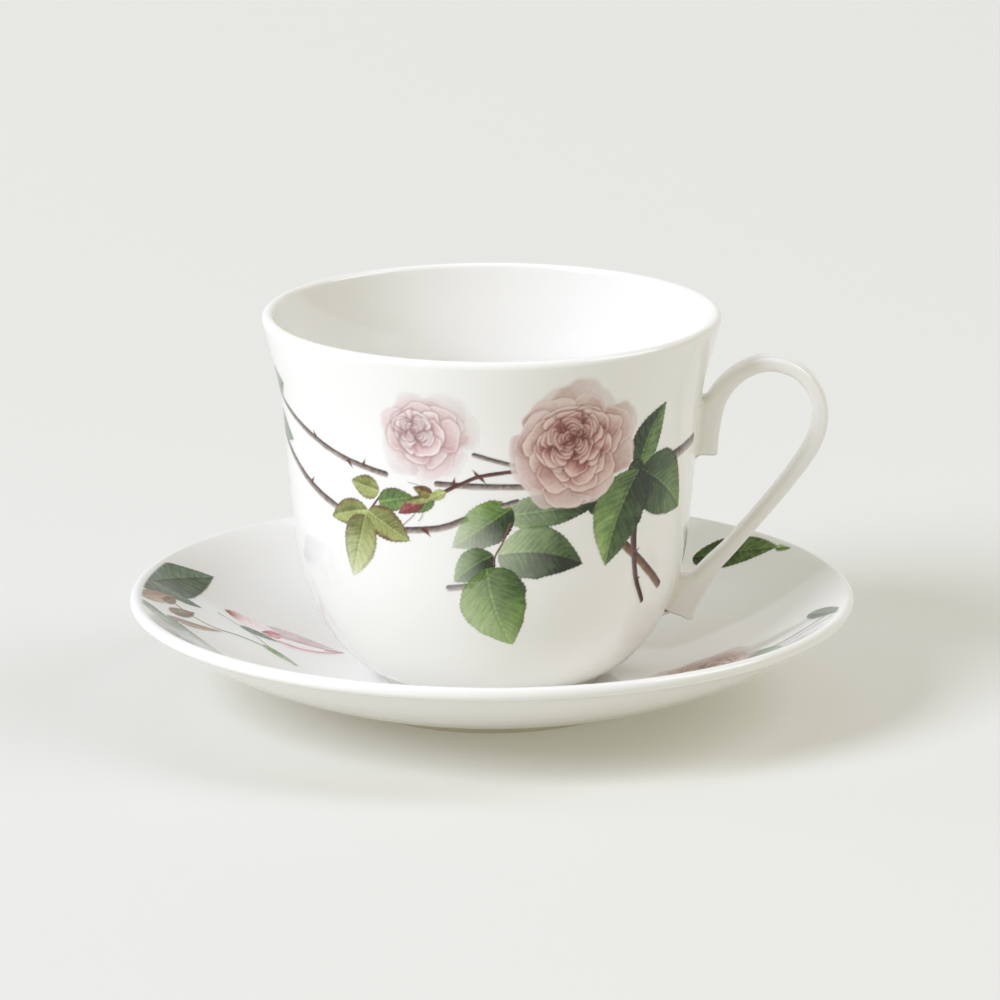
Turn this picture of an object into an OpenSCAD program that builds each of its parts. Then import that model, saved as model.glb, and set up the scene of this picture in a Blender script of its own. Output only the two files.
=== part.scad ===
// Breakfast cup with one loop handle, standing on its matching saucer.
// Millimetres. +Z is up and the handle points along +X. The origin lies on the common axis,
// in the plane of the surface that the saucer stands on.

/* [Cup] */
// Outer radius of the cup at its rim
rim_r = 53.5; // [44:0.5:66]
// Height of the cup from the underside of its foot to the rim
cup_h = 87.2; // [72:0.2:106]
// Outer radius where the round belly passes into the wall
belly_r = 46; // [38:0.5:56]
// Height of that place above the underside of the bowl
belly_h = 32.4; // [26:0.2:40]
// Thickness of the wall
wall_t = 2.8; // [2:0.1:4]
// Thickness of the bowl's floor
floor_t = 3.6; // [2.5:0.1:5]
// How strongly the wall leans outwards just below the rim
flare = 0.27; // [0.1:0.01:0.4]

/* [Cup foot] */
// Outer radius of the cup's foot ring where it meets the bowl
cup_foot_r = 26.4; // [21:0.2:32]
// Height of the cup's foot ring
cup_foot_h = 2.2; // [1.5:0.1:3.5]
// Width of the cup's foot ring
cup_foot_w = 3.2; // [2.4:0.1:4.5]

/* [Handle] */
// Height of the lower joint's tip above the underside of the bowl
handle_z = 10.9; // [8:0.1:16]
// Height of the handle from its lower tip to its top
handle_h = 63.5; // [50:0.5:68]
// Reach of the strap's middle line from the wall
handle_reach = 28; // [22:0.5:34]
// Thickness of the strap
strap_t = 3.3; // [2.4:0.1:4.5]
// Width of the strap
strap_w = 7.4; // [5.5:0.1:10]
// Thickness of the slip that joins the handle to the wall
slip_t = 0.5; // [0.3:0.1:1]
// How far the slip stands out round the handle's ends
slip_edge = 0.9; // [0.4:0.1:1.5]

/* [Saucer] */
// Outer radius of the saucer
saucer_r = 85; // [72:0.5:102]
// Height of the saucer's rim
saucer_h = 25.7; // [20:0.1:31]
// Thickness of the saucer's flange
saucer_t = 3; // [2.2:0.1:4]
// Room in the saucer's flat well round the cup's foot
well_room = 3.6; // [2:0.1:6]
// Thickness of the well's floor
well_t = 3.6; // [2.6:0.1:4.5]

/* [Saucer foot] */
// Outer radius of the saucer's foot ring at the table
saucer_foot_r = 33; // [28:0.2:38]
// Height of the saucer's foot ring
saucer_foot_h = 2; // [1.4:0.1:3.5]
// Width of the saucer's foot ring
saucer_foot_w = 3.6; // [2.6:0.1:5]

/* [Decoration] */
// Thickness of the printed transfers
print_t = 0.05; // [0.04:0.01:0.1]
// Height of the lower edge of the cup's transfers above the underside of the bowl
print_low = 13; // [8:0.5:20]
// Distance of the upper edge of the cup's transfers from the rim
print_drop = 4; // [3:0.5:10]
// Distance of the saucer's transfers from its well
print_gap = 3; // [2:0.5:14]

/* [Hidden] */

steps = 14;              // straight pieces that stand for one curved stretch
round_steps = 5;         // straight pieces that stand for a quarter of a rounded edge
round_fn = 180;          // divisions of a full turn
rest_gap = 0.05;         // air between the cup's foot and the saucer's well
foot_taper = 0.6;        // a foot ring is this much narrower at its standing face, per side
foot_round = 0.5;        // rounding of a foot ring's standing edges
turn = 360;

// Places of the parts that stand on each other
well_r = cup_foot_r + well_room;
well_z = saucer_foot_h + well_t;
cup_z = well_z + rest_gap;
bowl_z = cup_z + cup_foot_h;
rim_z = cup_z + cup_h;

// ---- Curves -----------------------------------------------------------------------------

// Point at t on the curve with the four control points p
function bezier(p, t) =
    pow(1 - t, 3) * p[0] + 3 * pow(1 - t, 2) * t * p[1] + 3 * (1 - t) * t * t * p[2] + t * t * t * p[3];

// Direction at t of the same curve, of unit length
function bezier_dir(p, t) =
    let (d = pow(1 - t, 2) * (p[1] - p[0]) + 2 * (1 - t) * t * (p[2] - p[1]) + t * t * (p[3] - p[2]))
    d / norm(d);

// Direction d turned a quarter turn to the left
function left_of(d) = [-d[1], d[0]];

// Curve p moved sideways to its left by s, from step first to step last
function beside(p, s, first, last) =
    [for (i = [first:last]) bezier(p, i / steps) + s * left_of(bezier_dir(p, i / steps))];

// List l in the opposite order
function backwards(l) = [for (i = [len(l) - 1:-1:0]) l[i]];

// Arc about centre c from angle a to angle b
function arc(c, r, a, b, n) =
    [for (i = [0:n]) c + r * [cos(a + (b - a) * i / n), sin(a + (b - a) * i / n)]];

// ---- Outlines, as [radius, height] --------------------------------------------------------

// Outside of the bowl: the belly, then the wall up to the start of the lip
lip_r = wall_t / 2;
belly_turn = 24;         // slope of the belly where it leaves the bowl's underside, degrees
bowl_edge = 1.2;         // the underside reaches this far past the foot ring
wall_lean = 0.107;       // outward lean of the wall at the belly
function lean(k) = [k, 1] / norm([k, 1]);
belly = let (start = [cup_foot_r + bowl_edge, bowl_z], end = [belly_r, bowl_z + belly_h])
    [start,
     start + 0.42 * belly_h * [cos(belly_turn), sin(belly_turn)],
     end - 0.33 * belly_h * lean(wall_lean),
     end];
lip_tilt = atan(flare);
wall = let (start = [belly_r, bowl_z + belly_h],
            end = [rim_r - lip_r * (1 - cos(lip_tilt)), rim_z - lip_r * (1 + sin(lip_tilt))],
            rise = end[1] - start[1])
    [start,
     start + 0.74 * rise * lean(wall_lean),
     end - 0.51 * rise * lean(flare),
     end];
outside = concat(beside(belly, 0, 0, steps), beside(wall, 0, 1, steps));

// Inside of the bowl, from the lip down to the flat middle of the floor
floor_z = bowl_z + floor_t;
floor_flat = 14;         // radius of the flat middle of the floor
floor_step = 6;          // step of the belly at which the floor takes over from the wall
dish = let (way = bezier_dir(belly, floor_step / steps),
            start = [floor_flat, floor_z],
            end = bezier(belly, floor_step / steps) + wall_t * left_of(way),
            run = end[0] - start[0])
    [start, start + [0.5 * run, 0], end - 0.35 * run * way, end];
inside = concat(backwards(beside(wall, wall_t, 1, steps)),
                backwards(beside(belly, wall_t, floor_step + 1, steps)),
                backwards(beside(dish, 0, 0, steps)));
lip = arc(outside[len(outside) - 1] + lip_r * left_of(bezier_dir(wall, 1)), lip_r,
          -lip_tilt, 180 - lip_tilt, 2 * round_steps);

// Radius of the bowl's outside at height z
function wall_r(z) = lookup(z, [for (p = outside) [p[1], p[0]]]);

module bowl_outline() {
    polygon(concat([[0, bowl_z]], outside,
                   [for (i = [1:len(lip) - 2]) lip[i]], inside, [[0, floor_z]]));
}

// The bowl as if it were solid, grown outwards by s
module bowl_block_outline(s) {
    grown = concat(beside(belly, -s, 0, steps), beside(wall, -s, 1, steps));
    top = grown[len(grown) - 1];
    polygon(concat([[0, bowl_z - s], [grown[0][0], bowl_z - s]], grown, [[0, top[1]]]));
}

// Ring with a rounded standing face: outer radius r at its root, from height z up by h
module foot_outline(r, w, z, h) {
    low_out = r - foot_taper;
    low_in = r - w + foot_taper;
    polygon(concat([[r, z + h]],
                   backwards(arc([low_out - foot_round, z + foot_round], foot_round, -90, 0, round_steps)),
                   backwards(arc([low_in + foot_round, z + foot_round], foot_round, 180, 270, round_steps)),
                   [[r - w, z + h]]));
}

// Underside of the saucer's flange, from beside the foot ring to the rim
flange_start = 1.5;      // the flange's underside starts this far outside the foot ring
flange_turn = 14;        // slope of the flange beside the foot ring, degrees
rim_turn = 27;           // slope of the flange at the rim, degrees
saucer_root_r = saucer_foot_r + foot_taper;
saucer_lip_r = saucer_t / 2;
flange = let (start = [saucer_root_r + flange_start, saucer_foot_h],
              end = [saucer_r - saucer_lip_r * (1 - sin(rim_turn)), saucer_h - saucer_lip_r * (1 + cos(rim_turn))],
              run = end[0] - start[0])
    [start,
     start + 0.72 * run * [cos(flange_turn), sin(flange_turn)],
     end - 0.2 * run * [cos(rim_turn), sin(rim_turn)],
     end];
rise_step = 4;           // step of the flange at which its top takes over from the well's edge
rise = let (way = bezier_dir(flange, rise_step / steps),
            start = [well_r, well_z],
            end = bezier(flange, rise_step / steps) + saucer_t * left_of(way),
            run = end[0] - start[0])
    [start, start + [0.4 * run, 0], end - 0.4 * run * way, end];
under = beside(flange, 0, 0, steps);
over = concat(backwards(beside(flange, saucer_t, rise_step + 1, steps)), backwards(beside(rise, 0, 0, steps)));
saucer_lip = arc(under[steps] + saucer_lip_r * left_of(bezier_dir(flange, 1)), saucer_lip_r,
                 rim_turn - 90, rim_turn + 90, 2 * round_steps);

module saucer_outline() {
    polygon(concat([[0, saucer_foot_h]], under, [for (i = [1:len(saucer_lip) - 2]) saucer_lip[i]],
                   over, [[0, well_z]]));
}

// ---- Handle -----------------------------------------------------------------------------

// Stations along the handle from its upper tip to its lower tip. Each one holds the distance from the
// wall as a share of the reach, the height as a share of the handle's height, and how much thicker and
// wider than the plain strap the handle is there.
stations = [
    [0.09, 0.652, 1.75, 1.14],
    [0.08, 0.760, 1.70, 1.12],
    [0.13, 0.880, 1.38, 1.06],
    [0.29, 0.966, 1.16, 1.00],
    [0.52, 0.998, 1.12, 1.00],
    [0.78, 0.958, 1.10, 1.00],
    [0.97, 0.850, 1.12, 1.00],
    [0.99, 0.710, 1.18, 1.00],
    [0.81, 0.540, 1.04, 1.00],
    [0.46, 0.305, 1.02, 1.00],
    [0.29, 0.205, 1.25, 1.05],
    [0.15, 0.095, 1.90, 1.14],
    [0.09, 0.026, 2.20, 1.22]
];
top_z = bowl_z + handle_z + handle_h - strap_t / 2;
low_z = bowl_z + handle_z;
upper_z = low_z + 0.74 * (top_z - low_z);
lower_z = low_z + 0.1 * (top_z - low_z);

// Radius at height z of the straight line through the wall at the two joints
function joint_line(z) =
    wall_r(lower_z) + (wall_r(upper_z) - wall_r(lower_z)) * (z - lower_z) / (upper_z - lower_z);

// Station as [radius, height, thickness, width]
function placed(s) =
    let (z = low_z + s[1] * (top_z - low_z))
    [joint_line(z) + s[0] * handle_reach, z, s[2] * strap_t, s[3] * strap_w];
path = [for (s = stations) placed(s)];

// Smooth curve through the four neighbours a, b, c and d, between b and c
function smooth(a, b, c, d, t) =
    0.5 * (2 * b + (c - a) * t + (2 * a - 5 * b + 4 * c - d) * t * t + (3 * b - a - 3 * c + d) * t * t * t);

span_steps = 5;          // rings for each stretch between two stations
last = len(path) - 1;
function path_at(i) = path[min(max(i, 0), last)];
rings = [for (i = [0:last - 1], j = [0:span_steps - (i == last - 1 ? 0 : 1)])
    smooth(path_at(i - 1), path_at(i), path_at(i + 1), path_at(i + 2), j / span_steps)];
ring_sides = 16;
squareness = 0.62;       // 1 is an ellipse, and less is closer to a rectangle

function bulge(v) = sign(v) * pow(abs(v), squareness);
function ring_dir(i) =
    let (a = rings[max(i - 1, 0)], b = rings[min(i + 1, len(rings) - 1)], d = [b[0] - a[0], b[1] - a[1]])
    d / norm(d);
function ring_points(i, grow) =
    let (c = rings[i], n = left_of(ring_dir(i)))
    [for (k = [0:ring_sides - 1])
        let (u = bulge(cos(k * turn / ring_sides)) * (c[2] / 2 + grow),
             v = bulge(sin(k * turn / ring_sides)) * (c[3] / 2 + grow))
        [c[0] + u * n[0], v, c[1] + u * n[1]]];

// Sweep of the rings from first to end, each grown by grow
module sweep(first, end, grow) {
    n = ring_sides;
    count = end - first;
    points = [for (i = [first:end]) each ring_points(i, grow)];
    sides = [for (i = [0:count - 1], k = [0:n - 1])
        [i * n + k, i * n + (k + 1) % n, (i + 1) * n + (k + 1) % n, (i + 1) * n + k]];
    polyhedron(points, concat([[for (k = [n - 1:-1:0]) k]], sides, [[for (k = [0:n - 1]) count * n + k]]),
               convexity = 6);
}

module bowl_block(s) {
    rotate_extrude($fn = round_fn) bowl_block_outline(s);
}

// Slip between the wall and the handle, round the handle's end between two rings
module slip(first, end) {
    intersection() {
        difference() {
            bowl_block(slip_t);
            bowl_block(0);
        }
        sweep(first, end, slip_edge);
    }
}

// ---- Transfers --------------------------------------------------------------------------

// Skin of thickness print_t on the bowl, between two azimuths
module cup_transfer(from, to) {
    rotate([0, 0, from]) rotate_extrude(angle = to - from, $fn = round_fn) intersection() {
        difference() {
            bowl_block_outline(print_t);
            bowl_block_outline(0);
        }
        translate([0, bowl_z + print_low]) square([2 * rim_r, cup_h - cup_foot_h - print_low - print_drop]);
    }
}

// Skin of thickness print_t on the saucer's flange, between two azimuths and outside radius r
saucer_print_edge = 3;   // bare glaze left inside the saucer's edge
module saucer_transfer(from, to, r) {
    skin = concat(over, beside(rise, print_t, 0, steps), beside(flange, saucer_t + print_t, rise_step + 1, steps));
    rotate([0, 0, from]) rotate_extrude(angle = to - from, $fn = round_fn) intersection() {
        polygon(skin);
        translate([r, 0]) square([saucer_r - saucer_print_edge - r, 2 * saucer_h]);
    }
}

// ---- Parts ------------------------------------------------------------------------------

module saucer_dish() {
    color("#f4f3ee") rotate_extrude($fn = round_fn) saucer_outline();
}

module saucer_foot_ring() {
    color("#ece9e0") rotate_extrude($fn = round_fn)
        foot_outline(saucer_root_r, saucer_foot_w, 0, saucer_foot_h);
}

module saucer_left_transfer() {
    color("#8fa58a") saucer_transfer(146, 236, well_r + print_gap);
}

module saucer_right_transfer() {
    color("#6f8f68") saucer_transfer(-52, 50, well_r + print_gap);
}

module cup_bowl() {
    color("#f7f6f2") rotate_extrude($fn = round_fn) bowl_outline();
}

module cup_foot_ring() {
    color("#ece9e0") rotate_extrude($fn = round_fn)
        foot_outline(cup_foot_r, cup_foot_w, cup_z, cup_foot_h);
}

module cup_handle() {
    color("#f5f4ef") difference() {
        sweep(0, len(rings) - 1, 0);
        bowl_block(slip_t);
    }
}

module handle_upper_slip() {
    color("#e6e2d2") slip(0, 2 * span_steps + 2);
}

module handle_lower_slip() {
    color("#e6e2d2") slip(len(rings) - 1 - 2 * span_steps, len(rings) - 1);
}

module cup_front_transfer() {
    color("#dca9ad") cup_transfer(-170, -9);
}

module cup_back_transfer() {
    color("#7f9f74") cup_transfer(14, 187);
}

saucer_dish();
saucer_foot_ring();
saucer_left_transfer();
saucer_right_transfer();
cup_bowl();
cup_foot_ring();
cup_handle();
handle_upper_slip();
handle_lower_slip();
cup_front_transfer();
cup_back_transfer();
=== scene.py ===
"""Looks for the breakfast cup and saucer: glazed china, fired rose prints and a plain pale studio."""
import copy
import math

import bpy
import numpy as np
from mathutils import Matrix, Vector


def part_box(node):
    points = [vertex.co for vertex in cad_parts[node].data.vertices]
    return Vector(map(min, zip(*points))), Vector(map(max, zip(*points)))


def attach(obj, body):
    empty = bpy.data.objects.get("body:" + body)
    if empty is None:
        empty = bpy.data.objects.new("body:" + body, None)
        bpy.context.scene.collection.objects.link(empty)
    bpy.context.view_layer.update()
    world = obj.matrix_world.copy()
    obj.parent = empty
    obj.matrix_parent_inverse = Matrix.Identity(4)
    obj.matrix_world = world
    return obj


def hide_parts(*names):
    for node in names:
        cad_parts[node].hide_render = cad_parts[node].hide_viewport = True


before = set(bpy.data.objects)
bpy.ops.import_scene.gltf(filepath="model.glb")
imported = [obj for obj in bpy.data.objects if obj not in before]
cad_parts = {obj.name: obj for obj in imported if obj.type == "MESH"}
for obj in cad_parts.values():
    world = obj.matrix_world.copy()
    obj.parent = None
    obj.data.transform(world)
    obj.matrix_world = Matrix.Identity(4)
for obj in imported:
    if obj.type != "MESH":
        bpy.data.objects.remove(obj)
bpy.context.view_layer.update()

MM = 0.001
TURN = 2 * math.pi


# ---- Sizes, in millimetres ------------------------------------------------------------------

def box_mm(node):
    """Lowest and highest corner of a CAD node, in millimetres."""
    low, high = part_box(node)
    return np.array(low) / MM, np.array(high) / MM


BOWL_LOW, BOWL_HIGH = box_mm("cup_bowl")
DISH_LOW, DISH_HIGH = box_mm("saucer_dish")
CUP_FOOT_LOW, CUP_FOOT_HIGH = box_mm("cup_foot_ring")
DISH_FOOT_HIGH = box_mm("saucer_foot_ring")[1]

RIM_R, RIM_Z, BOWL_Z = BOWL_HIGH[0], BOWL_HIGH[2], BOWL_LOW[2]
SAUCER_R, SAUCER_H, DISH_Z = DISH_HIGH[0], DISH_HIGH[2], DISH_LOW[2]

# Sizes that the boxes don't give, as in the CAD model
BELLY_R, BELLY_H = 46.0, 32.4
WALL_T, FLOOR_T = 2.8, 3.6
FLARE, WALL_LEAN, BELLY_TURN = 0.27, 0.107, math.radians(24)
BOWL_EDGE, FLOOR_FLAT = 1.2, 14.0
CUP_FOOT_W, DISH_FOOT_W, FOOT_TAPER, FOOT_ROUND = 3.2, 3.6, 0.6, 0.5
SAUCER_T, WELL_T, WELL_ROOM = 3.0, 3.6, 3.6
FLANGE_START, FLANGE_TURN, RIM_TURN = 1.5, math.radians(14), math.radians(27)
STRAP_T, STRAP_W, HANDLE_REACH = 3.3, 7.4, 28.0
HANDLE_RISE, HANDLE_H = 10.9, 63.5
# How far the prints stand off the glaze
PRINT_T = 0.04


# ---- Curves ---------------------------------------------------------------------------------

def bezier(p, t):
    """Points at the values t of the curve with four control points."""
    t = np.asarray(t, float)[:, None]
    return ((1 - t) ** 3 * p[0] + 3 * (1 - t) ** 2 * t * p[1]
            + 3 * (1 - t) * t ** 2 * p[2] + t ** 3 * p[3])


def bezier_dir(p, t):
    """Unit directions of the same curve."""
    t = np.asarray(t, float)[:, None]
    d = (1 - t) ** 2 * (p[1] - p[0]) + 2 * (1 - t) * t * (p[2] - p[1]) + t ** 2 * (p[3] - p[2])
    return d / np.linalg.norm(d, axis=1, keepdims=True)


def left_of(d):
    """Directions a quarter turn to the left."""
    return np.stack([-d[..., 1], d[..., 0]], -1)


def beside(p, s, t):
    """The curve moved sideways to its left by s."""
    return bezier(p, t) + s * left_of(bezier_dir(p, t))


def arc(centre, r, a, b, n=12):
    """Arc from angle a to angle b, in radians."""
    angle = np.linspace(a, b, n)
    return np.asarray(centre) + r * np.stack([np.cos(angle), np.sin(angle)], -1)


def unit(angle):
    """Direction at an angle from the radius."""
    return np.array([math.cos(angle), math.sin(angle)])


def lean(k):
    """Upward direction that goes outwards k for each 1 of height."""
    return np.array([k, 1.0]) / math.hypot(k, 1)


def soft_step(x, half):
    """From 0 at -half to 1 at half, smoothly."""
    t = np.clip(x / (2 * half) + 0.5, 0, 1)
    return t * t * (3 - 2 * t)


def smooth_path(points, per_span):
    """Smooth curve through the points, ends included."""
    p = np.asarray(points, float)
    p = np.vstack([p[:1], p, p[-1:]])
    out = []
    for i in range(1, len(p) - 2):
        t = np.linspace(0, 1, per_span, endpoint=False)[:, None]
        a, b, c, d = p[i - 1], p[i], p[i + 1], p[i + 2]
        out.append(0.5 * (2 * b + (c - a) * t + (2 * a - 5 * b + 4 * c - d) * t ** 2
                          + (3 * b - a - 3 * c + d) * t ** 3))
    return np.vstack(out + [p[-1:]])


# ---- Outlines, as [radius, height] ------------------------------------------------------------

# How far each curve's inner control points lie from its two ends, as shares of its height or run
BELLY_PULL, WALL_PULL, FLOOR_PULL = (0.42, 0.33), (0.74, 0.51), (0.5, 0.35)
FLANGE_PULL, RISE_PULL = (0.72, 0.2), (0.4, 0.4)
# Where the cup's floor meets the belly, and the saucer's well the flange, along those curves
FLOOR_JOIN, RISE_JOIN = 6 / 14, 4 / 14
FINE = np.linspace(0, 1, 60)

lip_r = WALL_T / 2
lip_tilt = math.atan(FLARE)
belly_start = np.array([CUP_FOOT_HIGH[0] + BOWL_EDGE, BOWL_Z])
belly_end = np.array([BELLY_R, BOWL_Z + BELLY_H])
belly = [belly_start, belly_start + BELLY_PULL[0] * BELLY_H * unit(BELLY_TURN),
         belly_end - BELLY_PULL[1] * BELLY_H * lean(WALL_LEAN), belly_end]
# The rim's height in the frame is the top of the lip's arc
wall_end = np.array([RIM_R - lip_r * (1 - math.cos(lip_tilt)), RIM_Z - lip_r * (1 + math.sin(lip_tilt))])
wall_rise = wall_end[1] - belly_end[1]
wall = [belly_end, belly_end + WALL_PULL[0] * wall_rise * lean(WALL_LEAN),
        wall_end - WALL_PULL[1] * wall_rise * lean(FLARE), wall_end]
outside = np.vstack([bezier(belly, FINE), bezier(wall, FINE[1:])])

floor_way = bezier_dir(belly, [FLOOR_JOIN])[0]
floor_end = beside(belly, WALL_T, [FLOOR_JOIN])[0]
floor_start = np.array([FLOOR_FLAT, BOWL_Z + FLOOR_T])
floor_run = floor_end[0] - floor_start[0]
cup_floor = [floor_start, floor_start + [FLOOR_PULL[0] * floor_run, 0],
             floor_end - FLOOR_PULL[1] * floor_run * floor_way, floor_end]

root_r = DISH_FOOT_HIGH[0]
saucer_lip_r = SAUCER_T / 2
flange_from = np.array([root_r + FLANGE_START, DISH_Z])
flange_to = np.array([SAUCER_R - saucer_lip_r * (1 - math.sin(RIM_TURN)),
                      SAUCER_H - saucer_lip_r * (1 + math.cos(RIM_TURN))])
flange_run = flange_to[0] - flange_from[0]
flange = [flange_from, flange_from + FLANGE_PULL[0] * flange_run * unit(FLANGE_TURN),
          flange_to - FLANGE_PULL[1] * flange_run * unit(RIM_TURN), flange_to]
well_r, well_z = CUP_FOOT_HIGH[0] + WELL_ROOM, DISH_Z + WELL_T
rise_way = bezier_dir(flange, [RISE_JOIN])[0]
rise_end = beside(flange, SAUCER_T, [RISE_JOIN])[0]
rise_start = np.array([well_r, well_z])
rise_run = rise_end[0] - rise_start[0]
rise = [rise_start, rise_start + [RISE_PULL[0] * rise_run, 0],
        rise_end - RISE_PULL[1] * rise_run * rise_way, rise_end]
saucer_top = np.vstack([bezier(rise, FINE), beside(flange, SAUCER_T, np.linspace(RISE_JOIN, 1, 60)[1:])])


def bowl_outline():
    """Up the outside from the axis, over the lip and down the inside."""
    lip_centre = wall_end + lip_r * left_of(bezier_dir(wall, [1.0])[0])
    lip = arc(lip_centre, lip_r, -lip_tilt, math.pi - lip_tilt, 20)[1:-1]
    back = FINE[::-1]
    belly_inside = beside(belly, WALL_T, np.linspace(1, FLOOR_JOIN, 40)[1:])
    inside = np.vstack([beside(wall, WALL_T, back), belly_inside, bezier(cup_floor, back)[1:]])
    base = [[0, BOWL_Z], [CUP_FOOT_HIGH[0], BOWL_Z]]
    return np.vstack([base, outside, lip, inside, [[0, floor_start[1]]]])


def saucer_outline():
    """Along the underside from the axis, over the lip and back to the middle of the well."""
    lip_centre = flange_to + saucer_lip_r * left_of(bezier_dir(flange, [1.0])[0])
    lip = arc(lip_centre, saucer_lip_r, RIM_TURN - math.pi / 2, RIM_TURN + math.pi / 2, 20)[1:-1]
    base = [[0, DISH_Z], [root_r, DISH_Z]]
    return np.vstack([base, bezier(flange, FINE), lip, saucer_top[::-1], [[0, well_z]]])


def foot_outline(r, w, z, h):
    """A ring that stands on a rounded, narrower face and spreads softly into what is above it."""
    out_c, in_c = r - FOOT_TAPER - FOOT_ROUND, r - w + FOOT_TAPER + FOOT_ROUND
    return np.vstack([[[r - w, z + h]], arc([in_c, z + FOOT_ROUND], FOOT_ROUND, math.pi, 1.5 * math.pi),
                      arc([out_c, z + FOOT_ROUND], FOOT_ROUND, -math.pi / 2, 0), [[r, z + h]]])


# ---- Meshes -----------------------------------------------------------------------------------

def make(name, verts_mm, faces, material, body, nodes):
    """A smooth mesh piece that rides on a body and stands for CAD nodes."""
    mesh = bpy.data.meshes.new(name)
    mesh.from_pydata((np.asarray(verts_mm) * MM).tolist(), [], faces)
    mesh.shade_smooth()
    mesh.materials.append(material)
    piece = bpy.data.objects.new(name, mesh)
    bpy.context.scene.collection.objects.link(piece)
    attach(piece, body)
    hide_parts(*nodes)
    return piece


def lathe(name, outline, material, body, nodes, closed=False, sides=288):
    """Turns an outline about the axis. Its ends may lie on the axis; a closed one makes a ring."""
    angle = np.arange(sides) * TURN / sides
    verts, rows = [], []
    for r, z in outline:
        if r < 1e-6:
            rows.append([len(verts)] * sides)
            verts.append([0, 0, z])
        else:
            rows.append(list(range(len(verts), len(verts) + sides)))
            verts += np.stack([r * np.cos(angle), r * np.sin(angle), np.full(sides, z)], -1).tolist()
    if closed:
        rows.append(rows[0])
    faces = []
    for low, high in zip(rows, rows[1:]):
        for i in range(sides):
            j = (i + 1) % sides
            face = [low[i], low[j], high[j], high[i]]
            faces.append([v for k, v in enumerate(face) if v not in face[:k]])
    return make(name, verts, faces, material, body, nodes)


# ---- Inks, as screen colours on white china, dark to light ------------------------------------

GREEN = [(32, 44, 22), (72, 95, 50), (114, 142, 80), (158, 184, 112), (204, 220, 172)]
BRIGHT = [(32, 46, 22), (74, 100, 46), (116, 147, 70), (154, 183, 100), (204, 222, 168)]
COOL = [(34, 43, 32), (74, 92, 67), (116, 140, 107), (164, 186, 158), (218, 230, 217)]
GREY = [(44, 52, 42), (82, 94, 78), (112, 130, 110), (150, 168, 146), (206, 216, 202)]
SPRING = [(62, 58, 30), (108, 110, 58), (150, 158, 92), (188, 196, 126), (222, 226, 172)]
RUSSET = [(84, 44, 30), (116, 82, 48), (138, 140, 78), (176, 184, 112), (206, 212, 150)]
TWIG = [(58, 46, 42), (104, 90, 84), (150, 138, 130), (190, 182, 174)]
BROWN = [(46, 26, 24), (84, 54, 48), (128, 98, 88)]
CUT = [(60, 34, 22), (112, 74, 48), (150, 116, 82)]
THORN = [(70, 34, 28), (120, 76, 64)]
RED = [(96, 40, 38), (150, 78, 76), (214, 168, 158)]
PINK = [(186, 120, 122), (222, 176, 177), (241, 214, 213), (249, 233, 231), (253, 245, 244)]
ASH = [(190, 160, 160), (214, 192, 192), (232, 218, 217), (244, 236, 235)]
HUSK = [(96, 68, 50), (142, 112, 86), (180, 152, 122), (212, 194, 166)]
# The brown of a leaf's edge, and the darker, warmer tint in the hollow round at the handle's joints:
# painted shade in the crease, with some glaze gathered there
RIM_BROWN = (106, 62, 42)
SHADE_AND_POOL_TINT = (224, 221, 184)


# ---- Materials --------------------------------------------------------------------------------

def linear(r, g, b):
    """A screen colour, 0 to 255, as linear light."""
    c = np.array([r, g, b]) / 255
    return np.where(c <= 0.04045, c / 12.92, ((c + 0.055) / 1.055) ** 2.4)


CHINA = linear(246, 245, 241)
# Thicker glaze is a touch warmer; bare china is greyer and goes between two tones
WARM = CHINA * np.array([0.985, 0.98, 0.955])
BARE_DARK, BARE_LIGHT = linear(222, 216, 202), linear(236, 232, 221)
# Scales of the noises, in cycles per metre
CLOUD, WAVE, GLOSS, GRIT = 38.0, 55.0, 260.0, 1800.0
# Roughness of the glaze, of bare china, and how much rougher fired ink is than the glaze
GLAZE_ROUGH, BARE_ROUGH, INK_ROUGH = (0.05, 0.11), (0.5, 0.75), 0.05


def new_material(name):
    material = bpy.data.materials.new(name)
    material.use_nodes = True
    tree = material.node_tree
    return material, tree, tree.nodes["Principled BSDF"]


def noise_node(tree, scale, detail):
    """Noise over the object's own coordinates, which every piece shares."""
    place = tree.nodes.new("ShaderNodeTexCoord")
    noise = tree.nodes.new("ShaderNodeTexNoise")
    noise.inputs["Scale"].default_value = scale
    noise.inputs["Detail"].default_value = detail
    tree.links.new(place.outputs["Object"], noise.inputs["Vector"])
    return noise


def to_range(tree, socket, low, high):
    """A value from 0 to 1 brought to the range low to high."""
    node = tree.nodes.new("ShaderNodeMapRange")
    node.inputs["To Min"].default_value = low
    node.inputs["To Max"].default_value = high
    tree.links.new(socket, node.inputs["Value"])
    return node.outputs["Result"]


def mixed(tree, factor, a, b):
    """Colour a turned into b by factor. Each may be a socket or a colour."""
    node = tree.nodes.new("ShaderNodeMix")
    node.data_type = "RGBA"
    for value, socket in ((factor, node.inputs["Factor"]), (a, node.inputs["A"]), (b, node.inputs["B"])):
        if isinstance(value, bpy.types.NodeSocket):
            tree.links.new(value, socket)
        else:
            socket.default_value = (*value, 1.0)
    return node.outputs["Result"]


def add_bump(tree, shader, noise, strength, depth):
    """Raises the surface with a noise, by up to depth in millimetres."""
    bump = tree.nodes.new("ShaderNodeBump")
    bump.inputs["Strength"].default_value = strength
    bump.inputs["Distance"].default_value = depth * MM
    tree.links.new(noise.outputs["Fac"], bump.inputs["Height"])
    tree.links.new(bump.outputs["Normal"], shader.inputs["Normal"])


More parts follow.
